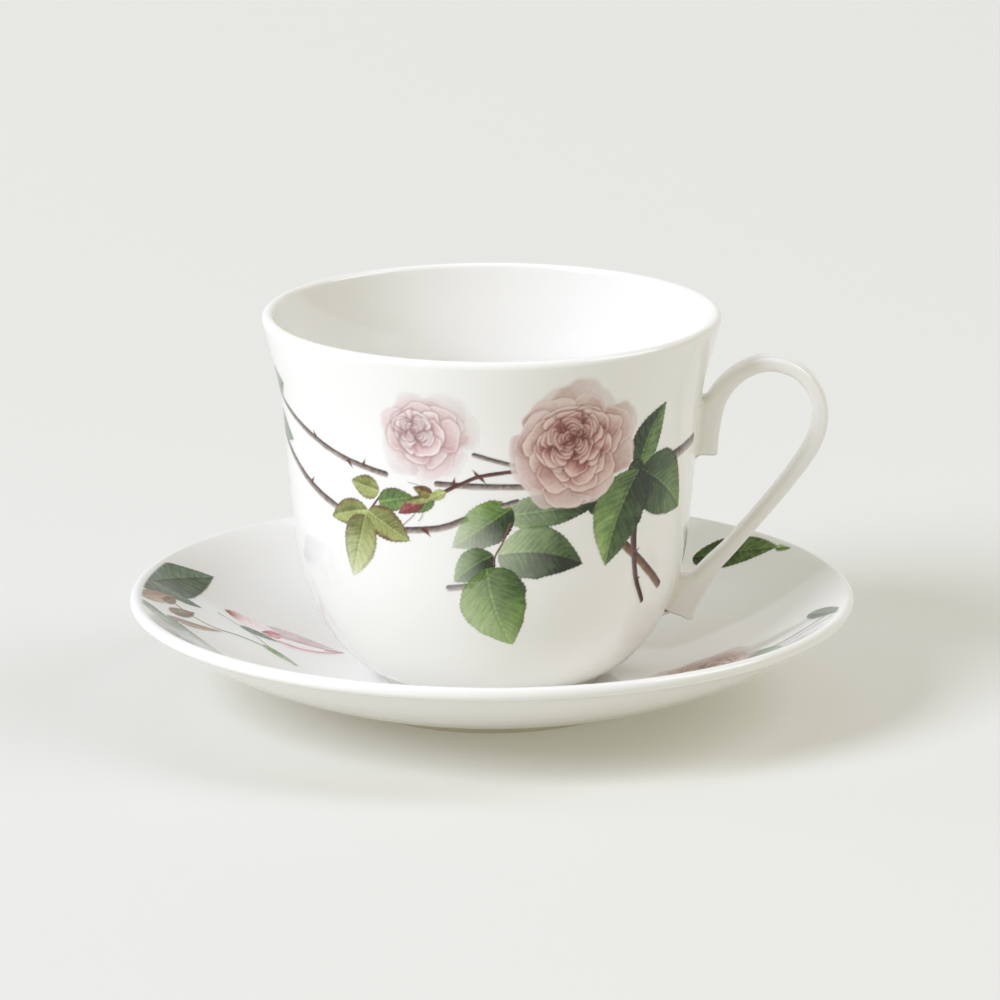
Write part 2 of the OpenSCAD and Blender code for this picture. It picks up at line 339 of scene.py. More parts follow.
def under_ink(tree, colour, rough):
    """The colour and roughness with the mesh's "ink" attribute on top: fired ink on the prints, and
    painted shade with gathered glaze in the handle's hollow rounds.
    """
    paint = tree.nodes.new("ShaderNodeAttribute")
    paint.attribute_name = "ink"
    extra = tree.nodes.new("ShaderNodeMath")
    extra.operation = "MULTIPLY_ADD"
    extra.inputs[1].default_value = INK_ROUGH
    tree.links.new(paint.outputs["Alpha"], extra.inputs[0])
    tree.links.new(rough, extra.inputs[2])
    return mixed(tree, paint.outputs["Alpha"], colour, paint.outputs["Color"]), extra.outputs["Value"]


def glazed(name, ink=False):
    """White china under a clear gloss glaze that lies in faint long waves, with the "ink" attribute on
    top if asked: fired ink on the prints, painted shade with gathered glaze on the handle.
    """
    material, tree, shader = new_material(name)
    cloud = noise_node(tree, CLOUD, 3.0)
    colour = mixed(tree, to_range(tree, cloud.outputs["Fac"], 0.0, 1.0), tuple(CHINA), tuple(WARM))
    rough = to_range(tree, noise_node(tree, GLOSS, 4.0).outputs["Fac"], *GLAZE_ROUGH)
    if ink:
        colour, rough = under_ink(tree, colour, rough)
    tree.links.new(colour, shader.inputs["Base Color"])
    tree.links.new(rough, shader.inputs["Roughness"])
    shader.inputs["IOR"].default_value = 1.5
    add_bump(tree, shader, noise_node(tree, WAVE, 1.0), 0.35, 0.08)
    return material


def bare(name):
    """Ground and polished china without glaze: matt and finely grained."""
    material, tree, shader = new_material(name)
    grit = noise_node(tree, GRIT, 6.0)
    colour = mixed(tree, grit.outputs["Fac"], tuple(BARE_DARK), tuple(BARE_LIGHT))
    tree.links.new(colour, shader.inputs["Base Color"])
    tree.links.new(to_range(tree, grit.outputs["Fac"], *BARE_ROUGH), shader.inputs["Roughness"])
    add_bump(tree, shader, grit, 0.5, 0.03)
    return material


CUP_GLAZE = glazed("cup_glaze")
SAUCER_GLAZE = glazed("saucer_glaze")
HANDLE_GLAZE = glazed("handle_glaze", ink=True)
CUP_PRINT = glazed("cup_print", ink=True)
SAUCER_PRINT = glazed("saucer_print", ink=True)
BARE = bare("bare_china")


# ---- Studio -----------------------------------------------------------------------------------

# Light that the floor gives back and gives off, and the room's light
FLOOR = (0.60, 0.60, 0.58)
FLOOR_GLOW = (0.190, 0.184, 0.150)
SKY = (0.336, 0.315, 0.187)
# The floor is flat up to SWEEP_START behind the cup and rises from there on a radius of SWEEP_R
FLOOR_REACH, SWEEP_START, SWEEP_R = 3.0, 0.30, 3.4
# The soft lamps: name, azimuth, height angle, size in metres, power and colour
LAMP_DISTANCE = 4.0
LAMPS = [
    ("key", 215, 35, 2.0, 148, (0.79, 0.82, 1.0)),
    ("left_back", 150, 35, 2.0, 13, (0.6, 0.85, 1.0)),
    ("back", 90, 70, 3.3, 30, (0.62, 0.64, 1.0)),
    ("fill", 0, 45, 2.5, 52, (0.88, 0.90, 1.0)),
]
# The camera stands in front of the cup and looks down on it: place in metres, angles in radians
CAMERA_Y, CAMERA_Z = -1.4897, 0.4314
CAMERA_TILT, CAMERA_TURN = 0.2523, 0.0013
SENSOR, FOCAL_LENGTH = 36, 236.4


def lamp(name, azimuth, rise, size, power, colour):
    """A round soft light aimed at the cup."""
    a, e = math.radians(azimuth), math.radians(rise)
    place = LAMP_DISTANCE * Vector((math.cos(e) * math.cos(a), math.cos(e) * math.sin(a), math.sin(e)))
    light = bpy.data.lights.new(name, "AREA")
    light.shape = "DISK"
    light.size = size
    light.energy = power
    light.color = colour
    obj = bpy.data.objects.new(name, light)
    obj.location = place
    obj.rotation_euler = (-place).to_track_quat("-Z", "Y").to_euler()
    bpy.context.scene.collection.objects.link(obj)


def paper():
    """Matt pale paper that gives off a little light."""
    material, _, shader = new_material("paper")
    shader.inputs["Base Color"].default_value = (*FLOOR, 1)
    shader.inputs["Roughness"].default_value = 0.9
    shader.inputs["Specular IOR Level"].default_value = 0.0
    shader.inputs["Emission Color"].default_value = (*FLOOR_GLOW, 1)
    shader.inputs["Emission Strength"].default_value = 1.0
    return material


def add_floor():
    """A pale floor that rises behind the cup in one long curve."""
    y = np.concatenate([[-FLOOR_REACH], np.linspace(SWEEP_START, FLOOR_REACH, 60)])
    z = SWEEP_R - np.sqrt(SWEEP_R ** 2 - np.maximum(y - SWEEP_START, 0) ** 2)
    verts = [(x, a, b) for a, b in zip(y, z) for x in (-FLOOR_REACH, FLOOR_REACH)]
    mesh = bpy.data.meshes.new("floor")
    mesh.from_pydata(verts, [], [(2 * i, 2 * i + 1, 2 * i + 3, 2 * i + 2) for i in range(len(y) - 1)])
    mesh.shade_smooth()
    mesh.materials.append(paper())
    floor = bpy.data.objects.new("floor", mesh)
    bpy.context.scene.collection.objects.link(floor)


def add_sky():
    """Even light from all round."""
    world = bpy.data.worlds.new("studio")
    bpy.context.scene.world = world
    world.use_nodes = True
    sky = world.node_tree.nodes["Background"]
    sky.inputs["Color"].default_value = (*SKY, 1)
    sky.inputs["Strength"].default_value = 1.0


def add_camera():
    camera = bpy.data.cameras.new("camera")
    camera.sensor_width = SENSOR
    camera.lens = FOCAL_LENGTH
    obj = bpy.data.objects.new("camera", camera)
    obj.location = (0, CAMERA_Y, CAMERA_Z)
    obj.rotation_euler = (math.pi / 2 - CAMERA_TILT, 0, -CAMERA_TURN)
    bpy.context.scene.collection.objects.link(obj)
    bpy.context.scene.camera = obj


def studio():
    """The floor, the room's light, the lamps and the camera."""
    bpy.context.scene.view_settings.view_transform = "Standard"
    add_floor()
    add_sky()
    for row in LAMPS:
        lamp(*row)
    add_camera()


# ---- Handle -----------------------------------------------------------------------------------

# Stations along the strap, as in the CAD model: distance from the wall and height as shares of the
# handle's reach and height, then how much thicker and wider than the plain strap it is there
STATIONS = [
    (0.09, 0.652, 1.75, 1.14),
    (0.08, 0.760, 1.70, 1.12),
    (0.13, 0.880, 1.38, 1.06),
    (0.29, 0.966, 1.16, 1.00),
    (0.52, 0.998, 1.12, 1.00),
    (0.78, 0.958, 1.10, 1.00),
    (0.97, 0.850, 1.12, 1.00),
    (0.99, 0.710, 1.18, 1.00),
    (0.81, 0.540, 1.04, 1.00),
    (0.46, 0.305, 1.02, 1.00),
    (0.29, 0.205, 1.25, 1.05),
    (0.15, 0.095, 1.90, 1.14),
    (0.09, 0.026, 2.20, 1.22),
]
UPPER_JOINT, LOWER_JOINT = 0.74, 0.10
# How round the strap's corners are, from 1 for an ellipse to 0 for a rectangle, and its tips' edges
SQUARENESS = 0.62
TIP_ROUND = 0.45
TIP_TURNS = np.radians([88, 70, 50, 30, 12])
# Where the strap is nearer to the wall than JOINED, at its low and its high end, its side goes BURIED
# into the wall, over a stretch of twice JOIN_EASE. A hollow round of FILLET follows, which starts
# SUNK under the glaze
JOINED, JOIN_EASE, BURIED = (3.0, 0.4), 0.45, 2.0
FILLET, SUNK = 1.7, 0.08
# How strong the darker, warmer tint in the hollow round is: painted shade in the crease, with some glaze
# gathered there
SHADE_AND_POOL_AMOUNT = 1.1


def wall_radius(z):
    """Radius of the bowl's outside at a height."""
    return np.interp(z, outside[:, 1], outside[:, 0])


def handle_rings():
    """Middle line of the strap: rows of [radius, height, thickness, width]."""
    low = BOWL_Z + HANDLE_RISE
    top = low + HANDLE_H - STRAP_T / 2
    upper, lower = low + UPPER_JOINT * (top - low), low + LOWER_JOINT * (top - low)
    out, up, thick, wide = np.array(STATIONS).T
    z = low + up * (top - low)
    line = wall_radius(lower) + (wall_radius(upper) - wall_radius(lower)) * (z - lower) / (upper - lower)
    rows = np.stack([line + out * HANDLE_REACH, z, thick * STRAP_T, wide * STRAP_W], -1)
    return smooth_path(rows, 14)


def handle_ring(centre, way, half_t, half_w, sides=96):
    """One section across the strap, a rectangle with very round corners.

    Near the bowl its side towards the wall reaches into it.
    """
    angle = np.arange(sides) * TURN / sides
    across = np.sign(np.cos(angle)) * np.abs(np.cos(angle)) ** SQUARENESS * half_t
    wide = np.sign(np.sin(angle)) * np.abs(np.sin(angle)) ** SQUARENESS * half_w
    normal = np.array([-way[1], way[0]])
    r, z = centre[0] + across * normal[0], centre[1] + across * normal[1]
    inward = -np.sign(normal[0])
    side = centre + inward * half_t * normal
    gap = side[0] - wall_radius(side[1])
    low = BOWL_Z + HANDLE_RISE
    nearer = np.interp(centre[1], [low, low + HANDLE_H], JOINED)
    joined = soft_step(nearer - gap, JOIN_EASE) * max(gap + BURIED, 0)
    return np.stack([r - joined * np.clip(inward * across / half_t, 0, 1), wide, z], -1)


def tip_sections(ring, way):
    """Sections round a tip of the strap, from its end face to its full size. way points inwards."""
    sections = []
    for turn in TIP_TURNS:
        out, inset = TIP_ROUND * (math.sin(turn) - 1), TIP_ROUND * (1 - math.cos(turn))
        sections.append((ring[:2] - out * way, ring[2] / 2 - inset, ring[3] / 2 - inset))
    return sections


def handle_mesh():
    """The strap with rounded tips, as points and faces."""
    rings = handle_rings()
    ways = np.gradient(rings[:, :2], axis=0)
    ways /= np.linalg.norm(ways, axis=1, keepdims=True)
    rows = [handle_ring(at, ways[0], t, w) for at, t, w in tip_sections(rings[0], ways[0])]
    rows += [handle_ring(r[:2], way, r[2] / 2, r[3] / 2) for r, way in zip(rings[1:-1], ways[1:-1])]
    rows += [handle_ring(at, ways[-1], t, w) for at, t, w in tip_sections(rings[-1], -ways[-1])[::-1]]
    n = len(rows[0])
    faces = [[i * n + k, (i + 1) * n + k, (i + 1) * n + (k + 1) % n, i * n + (k + 1) % n]
             for i in range(len(rows) - 1) for k in range(n)]
    verts = np.vstack(rows + [rows[0].mean(axis=0), rows[-1].mean(axis=0)])
    last = (len(rows) - 1) * n
    faces += [[len(verts) - 2, k, (k + 1) % n] for k in range(n)]
    faces += [[len(verts) - 1, last + (k + 1) % n, last + k] for k in range(n)]
    return verts, faces


def point_normals(verts, faces):
    """Unit normals at the points, from the first corner of every face round them."""
    normals = np.zeros_like(verts)
    for face in faces:
        a, b, c = verts[face[0]], verts[face[1]], verts[face[2]]
        normals[face] += np.cross(b - a, c - a)
    return normals / np.maximum(np.linalg.norm(normals, axis=1, keepdims=True), 1e-9)


def spread_into_wall(verts, faces):
    """Spreads the strap's foot along the wall in a hollow round that ends just under the glaze.

    Returns the points and how far each one is inside the round, from 0 to 1.
    """
    normals = point_normals(verts, faces)
    radius = np.hypot(verts[:, 0], verts[:, 1])
    gap = radius - wall_radius(verts[:, 2])
    q = np.clip(1 - (gap + SUNK) / FILLET, 0, 1)
    flat = np.stack([verts[:, 0] / radius, verts[:, 1] / radius, np.zeros(len(verts))], -1)
    along = normals - flat * (normals * flat).sum(axis=1, keepdims=True)
    verts = verts + along * (FILLET * (1 - np.sqrt(1 - q ** 2)))[:, None]
    # Each point keeps its distance from the wall, and stays inside the wall's thickness
    kept = wall_radius(verts[:, 2]) + np.maximum(gap, -BURIED)
    verts[:, :2] *= (kept / np.hypot(verts[:, 0], verts[:, 1]))[:, None]
    return verts, q


def add_ink_and_shade(piece, rgb, cover):
    """Gives a piece its "ink" attribute, one colour and coverage for each point: print on the sheets,
    painted shade with gathered glaze on the handle.
    """
    data = piece.data.color_attributes.new("ink", "FLOAT_COLOR", "POINT")
    values = np.concatenate([rgb, cover[:, None]], axis=1).astype(np.float32)
    data.data.foreach_set("color", values.ravel())


def handle():
    verts, faces = handle_mesh()
    verts, q = spread_into_wall(verts, faces)
    piece = make("cup_handle_glazed", verts, faces, HANDLE_GLAZE, "cup",
                 ["cup_handle", "handle_upper_slip", "handle_lower_slip"])
    # A darker, warmer tint peaks midway round the hollow where the strap meets the wall: painted shade
    # in the crease, with some glaze gathered there
    add_ink_and_shade(piece, np.tile(linear(*SHADE_AND_POOL_TINT), (len(verts), 1)), SHADE_AND_POOL_AMOUNT * q * (1 - q))


# ---- Painting ---------------------------------------------------------------------------------

GRAIN = np.random.default_rng(7).random((64, 64))


def grain(u, v, size, seed=0):
    """Smooth seeded noise from -1 to 1 with patches of the given size."""
    x, y = u / size + 17.3 * seed, v / size + 5.7 * seed
    i, j = np.floor(x).astype(int), np.floor(y).astype(int)
    fx, fy = soft_step(x - i - 0.5, 0.5), soft_step(y - j - 0.5, 0.5)
    corner = [[GRAIN[(i + a) % 64, (j + b) % 64] for b in (0, 1)] for a in (0, 1)]
    low = corner[0][0] * (1 - fx) + corner[1][0] * fx
    high = corner[0][1] * (1 - fx) + corner[1][1] * fx
    return 2 * (low * (1 - fy) + high * fy) - 1


def tones(stops, t):
    """Colours along a list of evenly spaced stops."""
    stops = np.array([linear(*stop) for stop in stops])
    at = np.clip(t, 0, 1) * (len(stops) - 1)
    return np.stack([np.interp(at, np.arange(len(stops)), stops[:, k]) for k in range(3)], -1)


# Half of the soft edge of a brush stroke, and of a fine one
EDGE = 0.16
FINE_EDGE = EDGE * 0.8


class Canvas:
    """A sheet of ink over a grid of points, in millimetres."""

    def __init__(self, u0, u1, v0, v1, step):
        self.step, self.u0, self.v0 = step, u0, v0
        columns = np.arange(u0, u1 + step / 2, step)
        rows = np.arange(v0, v1 + step / 2, step)
        self.u, self.v = np.meshgrid(columns, rows)
        self.rgb = np.zeros(self.u.shape + (3,))
        self.cover = np.zeros(self.u.shape)

    def moved(self, du):
        """The same sheet with its painter's place moved along by du."""
        other = copy.copy(self)
        other.u, other.u0 = self.u - du, self.u0 - du
        return other

    def window(self, points, margin):
        """The part of the grid round some points, or None."""
        p = np.asarray(points, float)
        corner = (self.u0, self.v0)
        low = np.floor((p.min(axis=0) - margin - corner) / self.step).astype(int)
        high = np.ceil((p.max(axis=0) + margin - corner) / self.step).astype(int) + 1
        low = np.maximum(low, 0)
        rows, columns = self.u.shape
        if high[0] <= low[0] or high[1] <= low[1] or low[0] >= columns or low[1] >= rows:
            return None
        return np.s_[low[1]:high[1], low[0]:high[0]]

    def lay(self, win, cover, rgb):
        """Lays ink over what is there."""
        under = self.cover[win] * (1 - cover)
        total = cover + under
        safe = np.maximum(total, 1e-9)
        self.rgb[win] = (rgb * cover[..., None] + self.rgb[win] * under[..., None]) / safe[..., None]
        self.cover[win] = total

    def stain(self, win, amount, rgb):
        """Tints only the ink that is there."""
        self.rgb[win] += (rgb - self.rgb[win]) * amount[..., None]


# Teeth of a leaf, in millimetres, and how much they lean towards its tip
TOOTH_PITCH, TOOTH, TOOTH_LEAN = 1.05, 0.32, 0.25
# How much darker a leaf is in its veins, beside its midrib and at its edge, and lighter on the midrib
VEIN_DARK, SHADOW_DARK, EDGE_DARK, RIB_LIGHT = 0.21, 0.10, 0.12, 0.22
# Widths of the midrib and of the shadow at its side, and how far off the shadow lies
RIB_W, SHADOW_W, SHADOW_OFF = 0.22, 0.4, 0.55


def leaf_width(t):
    """Half-width of a leaf along its midrib, as a share of the largest."""
    t = np.clip(t, 0, 1)
    return t ** 0.55 * (1 - t) ** 0.85 * (1 - 0.25 * t ** 4) / 0.383


def leaf_veins(t, d, q, sweep, veins, seed):
    """How much lighter or darker the side veins, the midrib and the blade's puffs make a leaf.

    t is the way along the leaf, d the distance from the midrib and q its share of the width there.
    """
    phase = (t * veins - sweep) % 1
    vein = np.exp(-((phase - 0.5) / 0.10) ** 2) * (1 - 0.6 * q)
    puffs = np.sin(TURN * (phase - 0.25)) * 0.07 + 0.07 * grain(phase * 6, q * 2.5 + t * 9, 1.0, seed)
    rib = np.exp(-(d / RIB_W) ** 2) * np.clip(1 - t, 0, 1) ** 0.4
    shadow = np.exp(-((d + SHADOW_OFF) / SHADOW_W) ** 2)
    return puffs - VEIN_DARK * vein + RIB_LIGHT * rib - SHADOW_DARK * shadow


def leaf(canvas, base, tip, half, stops=GREEN, bend=0.0, left=0.5, right=0.5, sun=(0, 0, 0),
         fade=(0, 0, 0), veins=7, rim=0.0, seed=1):
    """A toothed leaf, twice half wide at its widest.

    left and right are the tones of its halves; sun is a direction and how much lighter the leaf gets
    that way; fade is a direction and how much ink it loses that way; rim is how brown its edge is.
    """
    base, tip = np.array(base, float), np.array(tip, float)
    length = np.linalg.norm(tip - base)
    way = (tip - base) / length
    win = canvas.window([base, tip], half + abs(bend) * length + 1)
    if win is None:
        return
    u, v = canvas.u[win] - base[0], canvas.v[win] - base[1]
    t = (u * way[0] + v * way[1]) / length
    d = v * way[0] - u * way[1] - bend * length * 4 * t * (1 - t)
    tooth = TOOTH * min(1, half / 4) * ((t * length / TOOTH_PITCH + TOOTH_LEAN * np.abs(d) / half) % 1)
    width = half * leaf_width(t) * (1 + 0.04 * grain(u, v, 2.2, seed)) - tooth
    q = np.abs(d) / np.maximum(width, 1e-3)
    inside = soft_step(width - np.abs(d), EDGE) * (t > 0) * (t < 1)
    # The place on the leaf from its middle, where its ends are 1 away
    su, sv = (u - length * way[0] / 2) / length * 2, (v - length * way[1] / 2) / length * 2
    gone = np.clip(fade[2] * (0.5 + su * fade[0] + sv * fade[1]), 0, 1)
    sweep = 0.675 * q * half / length * veins - 0.1 * grain(u, v, 2.0, seed)
    tone = soft_step(d, 0.35) * left + (1 - soft_step(d, 0.35)) * right
    tone = tone + sun[2] * (su * sun[0] + sv * sun[1]) + leaf_veins(t, d, q, sweep, veins, seed)
    tone = tone + 0.05 * grain(u, v, 0.5, seed) + 0.08 * grain(u, v, 2.6, seed + 3)
    tone = tone - EDGE_DARK * soft_step(q - 0.93, 0.06) + 0.5 * gone
    rgb = tones(stops, tone)
    brown = rim * soft_step(q - 0.80 + 0.12 * grain(u, v, 1.2, seed), 0.16)
    rgb += (linear(*RIM_BROWN) - rgb) * brown[..., None]
    canvas.lay(win, inside * (1 - gone), rgb)


def nearest(u, v, path):
    """Distance to a path, signed by side, and the share of the way along it."""
    best = np.full(u.shape, 1e9)
    side, along = np.zeros(u.shape), np.zeros(u.shape)
    for i, (a, b) in enumerate(zip(path, path[1:])):
        run = b - a
        t = np.clip(((u - a[0]) * run[0] + (v - a[1]) * run[1]) / run.dot(run), 0, 1)
        du, dv = u - a[0] - t * run[0], v - a[1] - t * run[1]
        d = np.hypot(du, dv)
        closer = d < best
        best = np.where(closer, d, best)
        side = np.where(closer, np.sign(run[0] * dv - run[1] * du), side)
        along = np.where(closer, (i + t) / (len(path) - 1), along)
    return best * side, along


def stem(canvas, points, width, stops=TWIG, taper=0.0, strength=1.0):
    """A round twig through the points, dark along its left edge."""
    win = canvas.window(points, width)
    if win is None:
        return
    u, v = canvas.u[win], canvas.v[win]
    d, along = nearest(u, v, smooth_path(points, 6))
    half = width / 2 * (1 - taper * along) * (1 + 0.07 * grain(u, v, 1.3, 5))
    tone = 0.5 - 0.5 * np.clip(d / half, -1, 1) + 0.14 * grain(u, v, 0.6, 2) + 0.08 * grain(u, v, 3, 4)
    canvas.lay(win, soft_step(half - np.abs(d), FINE_EDGE) * strength, tones(stops, tone))


THORN_BEND = 0.15


def spike(canvas, base, tip, half):
    """A thorn, twice half wide at its foot."""
    base, tip = np.array(base, float), np.array(tip, float)
    length = np.linalg.norm(tip - base)
    way = (tip - base) / length
    win = canvas.window([base, tip], half + 0.5 * length)
    if win is None:
        return
    u, v = canvas.u[win] - base[0], canvas.v[win] - base[1]
    t = (u * way[0] + v * way[1]) / length
    d = v * way[0] - u * way[1] - THORN_BEND * length * t * t
    width = half * np.clip(1 - t, 0, 1) ** 1.2
    cover = soft_step(width - np.abs(d), FINE_EDGE) * (t > -0.15) * (t < 1)
    canvas.lay(win, cover, tones(THORN, 0.5 + 0.5 * d / half))


def petal(canvas, place, angle, half, depth, inner, rim, seed, cover=1.0, shade=0.3, turn=0.0):
    """A cupped, ruffled petal: place is its middle and angle points to its outer edge."""
    win = canvas.window([place], max(half, depth) * 1.5 + 1.2)
    if win is None:
        return
    u, v = canvas.u[win] - place[0], canvas.v[win] - place[1]
    out = u * math.cos(angle) + v * math.sin(angle)
    side = v * math.cos(angle) - u * math.sin(angle)
    polar = np.arctan2(out / depth, side / half)
    ruffle = 0.07 * np.sin(3 * polar + 2.1 * seed) + 0.04 * np.sin(5 * polar + 1.3 * seed)
    f = 1 - np.hypot(side / half, out / depth) + ruffle + 0.015 * np.sin(11 * polar + seed)
    size = min(half, depth)
    shadow = shade * soft_step(f * size + 0.30, 0.45) * canvas.cover[win]
    canvas.stain(win, shadow, linear(*inner) * 0.55)
    rise = np.clip(0.5 + 0.5 * out / depth + turn * side / half, 0, 1)
    streak = np.sin(side / half * 8 + 4 * grain(u, v, 1.4, seed)) * 0.07
    streak = streak + 0.10 * grain(side * 3, out * 0.8, 0.9, seed)
    edge = np.exp(-((f * size - 0.20) / 0.19) ** 2) * soft_step(out + 0.2 * depth, 0.3 * depth)
    tone = 0.06 + 0.90 * rise ** 1.5 + streak * (1 - 0.4 * rise) + 0.42 * edge
    stops = [inner, blend(inner, rim, 0.58), rim]
    canvas.lay(win, cover * soft_step(f * size, EDGE), tones(stops, tone))


def blush(canvas, middle, radius, rgb, amount):
    """A soft stain on the ink round a point."""
    win = canvas.window([middle], radius)
    if win is None:
        return
    r = np.hypot(canvas.u[win] - middle[0], canvas.v[win] - middle[1])
    canvas.stain(win, amount * soft_step(radius / 2 - r, radius / 2) * canvas.cover[win], linear(*rgb))


def blend(a, b, t):
    """A screen colour a turned into b by t."""
    return tuple(x + (y - x) * t for x, y in zip(a, b))


def rose(canvas, middle, rings, seed, heart=(0, 0), squash=0.95, groups=5):
    """An open garden rose, from its outer petals inwards.

    The heart lies off the middle, and inside the last ring the petals are packed in groups.
    """
    rng = np.random.default_rng(seed)
    reach, _, _, _, inner, rim, _ = rings[-1]
    core = rings[0][0] * 0.72
    petal(canvas, middle, 0, core, core * squash, inner, rim, seed)
    for radius, count, half, depth, inner, rim, cover in rings:
        start = rng.random() * TURN
        shift = 1 - radius / rings[0][0]
        shade = 0.16 + 0.8 * shift
        centre = (middle[0] + heart[0] * shift, middle[1] + heart[1] * shift)
        for k in rng.permutation(count):
            angle = start + TURN * k / count + rng.normal(0, 0.14)
            r = radius * rng.uniform(0.90, 1.08)
            place = (centre[0] + r * math.cos(angle), centre[1] + r * math.sin(angle) * squash)
            petal(canvas, place, angle + rng.normal(0, 0.22), half * rng.uniform(0.72, 1.2),
                  depth * rng.uniform(0.75, 1.15), inner, rim, rng.integers(40), cover, shade,
                  rng.uniform(-0.5, 0.5))
    centre = (middle[0] + heart[0], middle[1] + heart[1])
    packed(canvas, centre, reach, inner, rim, rng, groups)


def packed(canvas, centre, reach, inner, rim, rng, groups):
    """The inner petals: each group is a row of petals that lean on each other towards the centre."""
    start = rng.random() * TURN
    for k in rng.permutation(groups):
        way = start + TURN * k / groups + rng.normal(0, 0.15)
        for r in np.linspace(reach, reach * 0.16, 7):
            angle = way + rng.normal(0, 0.12)
            place = (centre[0] + r * math.cos(angle), centre[1] + r * math.sin(angle))
            deep = blend(inner, tuple(0.8 * c for c in inner), 1 - r / reach)
            light = blend(rim, inner, 0.35 * (1 - r / reach))
            petal(canvas, place, angle + rng.normal(0, 0.3), (0.5 + 0.46 * r) * rng.uniform(0.8, 1.2),
                  0.75 + 0.16 * r, deep, light, rng.integers(40), 1.0, 0.55, rng.uniform(-0.5, 0.5))
    blush(canvas, centre, reach * 0.55, deep, 0.55)


def sheet(name, canvas, place, node, material, body):
    """Makes the painted stretches of a canvas into a sheet on the glaze, where place puts them."""
    rows, cols = canvas.u.shape
    index = np.arange(rows * cols).reshape(rows, cols)
    quads = np.stack([index[:-1, :-1], index[:-1, 1:], index[1:, 1:], index[1:, :-1]], -1).reshape(-1, 4)
    cover = canvas.cover.ravel()
    quads = quads[cover[quads].max(axis=1) > 0.01]
    used, faces = np.unique(quads, return_inverse=True)
    faces = faces.reshape(-1, 4)
    u, v = canvas.u.ravel()[used], canvas.v.ravel()[used]
    piece = make(name, place(u, v), faces.tolist(), material, body, [node])
    add_ink_and_shade(piece, canvas.rgb.reshape(-1, 3)[used], cover[used])
    chart = piece.data.uv_layers.new(name="OFBake")
    flat = np.stack([u - u.min(), v - v.min()], -1) / max(np.ptp(u), np.ptp(v))
    chart.data.foreach_set("uv", flat[faces.ravel()].astype(np.float32).ravel())


# ---- Decoration -------------------------------------------------------------------------------

# A ring of petals: radius, petals, half-width, depth, colour at the heart and at the rim, coverage
FULL_ROSE = [
    (11.2, 7, 6.8, 5.4, (194, 165, 157), (229, 214, 208), 0.8),
    (10.2, 8, 5.6, 4.5, (174, 130, 122), (229, 209, 202), 1.0),
    (8.5, 9, 4.5, 3.6, (162, 106, 98), (230, 207, 197), 1.0),
    (7.0, 9, 3.9, 3.0, (155, 88, 80), (234, 209, 198), 1.0),
    (5.4, 9, 3.2, 2.4, (138, 64, 57), (231, 199, 188), 1.0),
]
PALE_ROSE = [
    (7.8, 7, 5.4, 4.3, (214, 193, 191), (234, 227, 223), 0.6),
    (6.6, 7, 4.6, 3.8, (206, 173, 170), (236, 222, 219), 0.95),
    (5.3, 7, 3.9, 3.1, (200, 160, 159), (237, 221, 218), 1.0),
    (3.7, 6, 3.1, 2.4, (206, 162, 162), (243, 230, 227), 1.0),
]


# Places in a spray: u runs round the cup from the middle of the spray's side and v is the height
# along the wall. A whole spray trails as far as u = -LONG; a short one leaves room for the handle
LONG, SHORT = 92, 64


def long_stems(c, reach):
    """Two bare thorned stems that trail round the cup, as far as u = -reach."""
    upper = [(-92, 80), (-76, 77.5), (-62, 73.6), (-48, 69.4), (-37, 66.4), (-25.2, 64.3)]
    lower = [(-92, 74), (-78, 69), (-64, 63.6), (-50, 57.3), (-39, 53.5)]
    stem(c, [p for p in upper if p[0] >= -reach], 1.45)
    stem(c, [p for p in lower if p[0] >= -reach], 1.75)
    stem(c, [(-21, 51.3), (-12, 52.6), (-6, 55)], 1.6)
    spike(c, (-47, 69.6), (-47.9, 71.3), 0.55)
    spike(c, (-35.6, 66), (-34.6, 64.1), 0.6)
    spike(c, (-31.2, 65.8), (-30.4, 67.3), 0.45)
    spike(c, (-50.5, 58), (-48.6, 59.4), 0.6)
    spike(c, (-15.8, 52.2), (-14.6, 50.1), 0.8)


def stems_between(c):
    stem(c, [(-12.5, 63.2), (-6, 63), (8.5, 62.7)], 1.5)
    stem(c, [(-4, 70.5), (1, 69), (8, 67)], 1.1, TWIG)
    stem(c, [(-11.3, 61.2), (-7, 63.4), (-2, 65.5), (8, 66.8)], 0.95, BROWN)
    spike(c, (-8.8, 63.2), (-8.1, 65.1), 0.6)
    spike(c, (-3.2, 65.4), (-4.2, 67.2), 0.55)
    spike(c, (-2.4, 65), (-1.4, 63.4), 0.5)
    stem(c, [(49, 64.2), (56, 64.9), (62.5, 65.6)], 2.5)
    stem(c, [(33.5, 46.5), (38, 42.6), (49.4, 33.2)], 2.1, CUT)
    stem(c, [(36.6, 52), (37.2, 45), (39, 37), (43.2, 30.3)], 2.2, BROWN, taper=0.45)
    spike(c, (37.6, 43.4), (39.6, 44.1), 0.5)
    spike(c, (39.4, 37), (40.8, 36.4), 0.5)


def leaves_right(c):
    leaf(c, (24, 54.8), (27, 59.5), 2.5, left=0.05, right=0.05)
    leaf(c, (37, 64), (44.3, 78.9), 4.6, bend=0.05, left=0.14, right=0.42, sun=(0.4, -0.9, 0.05),
         seed=2)
    leaf(c, (34, 65), (39.5, 62), 2.6, left=0.04, right=0.10, veins=2)
    leaf(c, (38, 63.5), (55.6, 50.8), 7.8, bend=0.04, left=0.35, right=0.21, sun=(0.7, -0.7, 0.30),
         seed=3)
    leaf(c, (37.2, 63.6), (28.6, 41.6), 7.7, bend=-0.07, left=0.18, right=0.54, sun=(-0.3, -0.95, 0.22),
         seed=4)


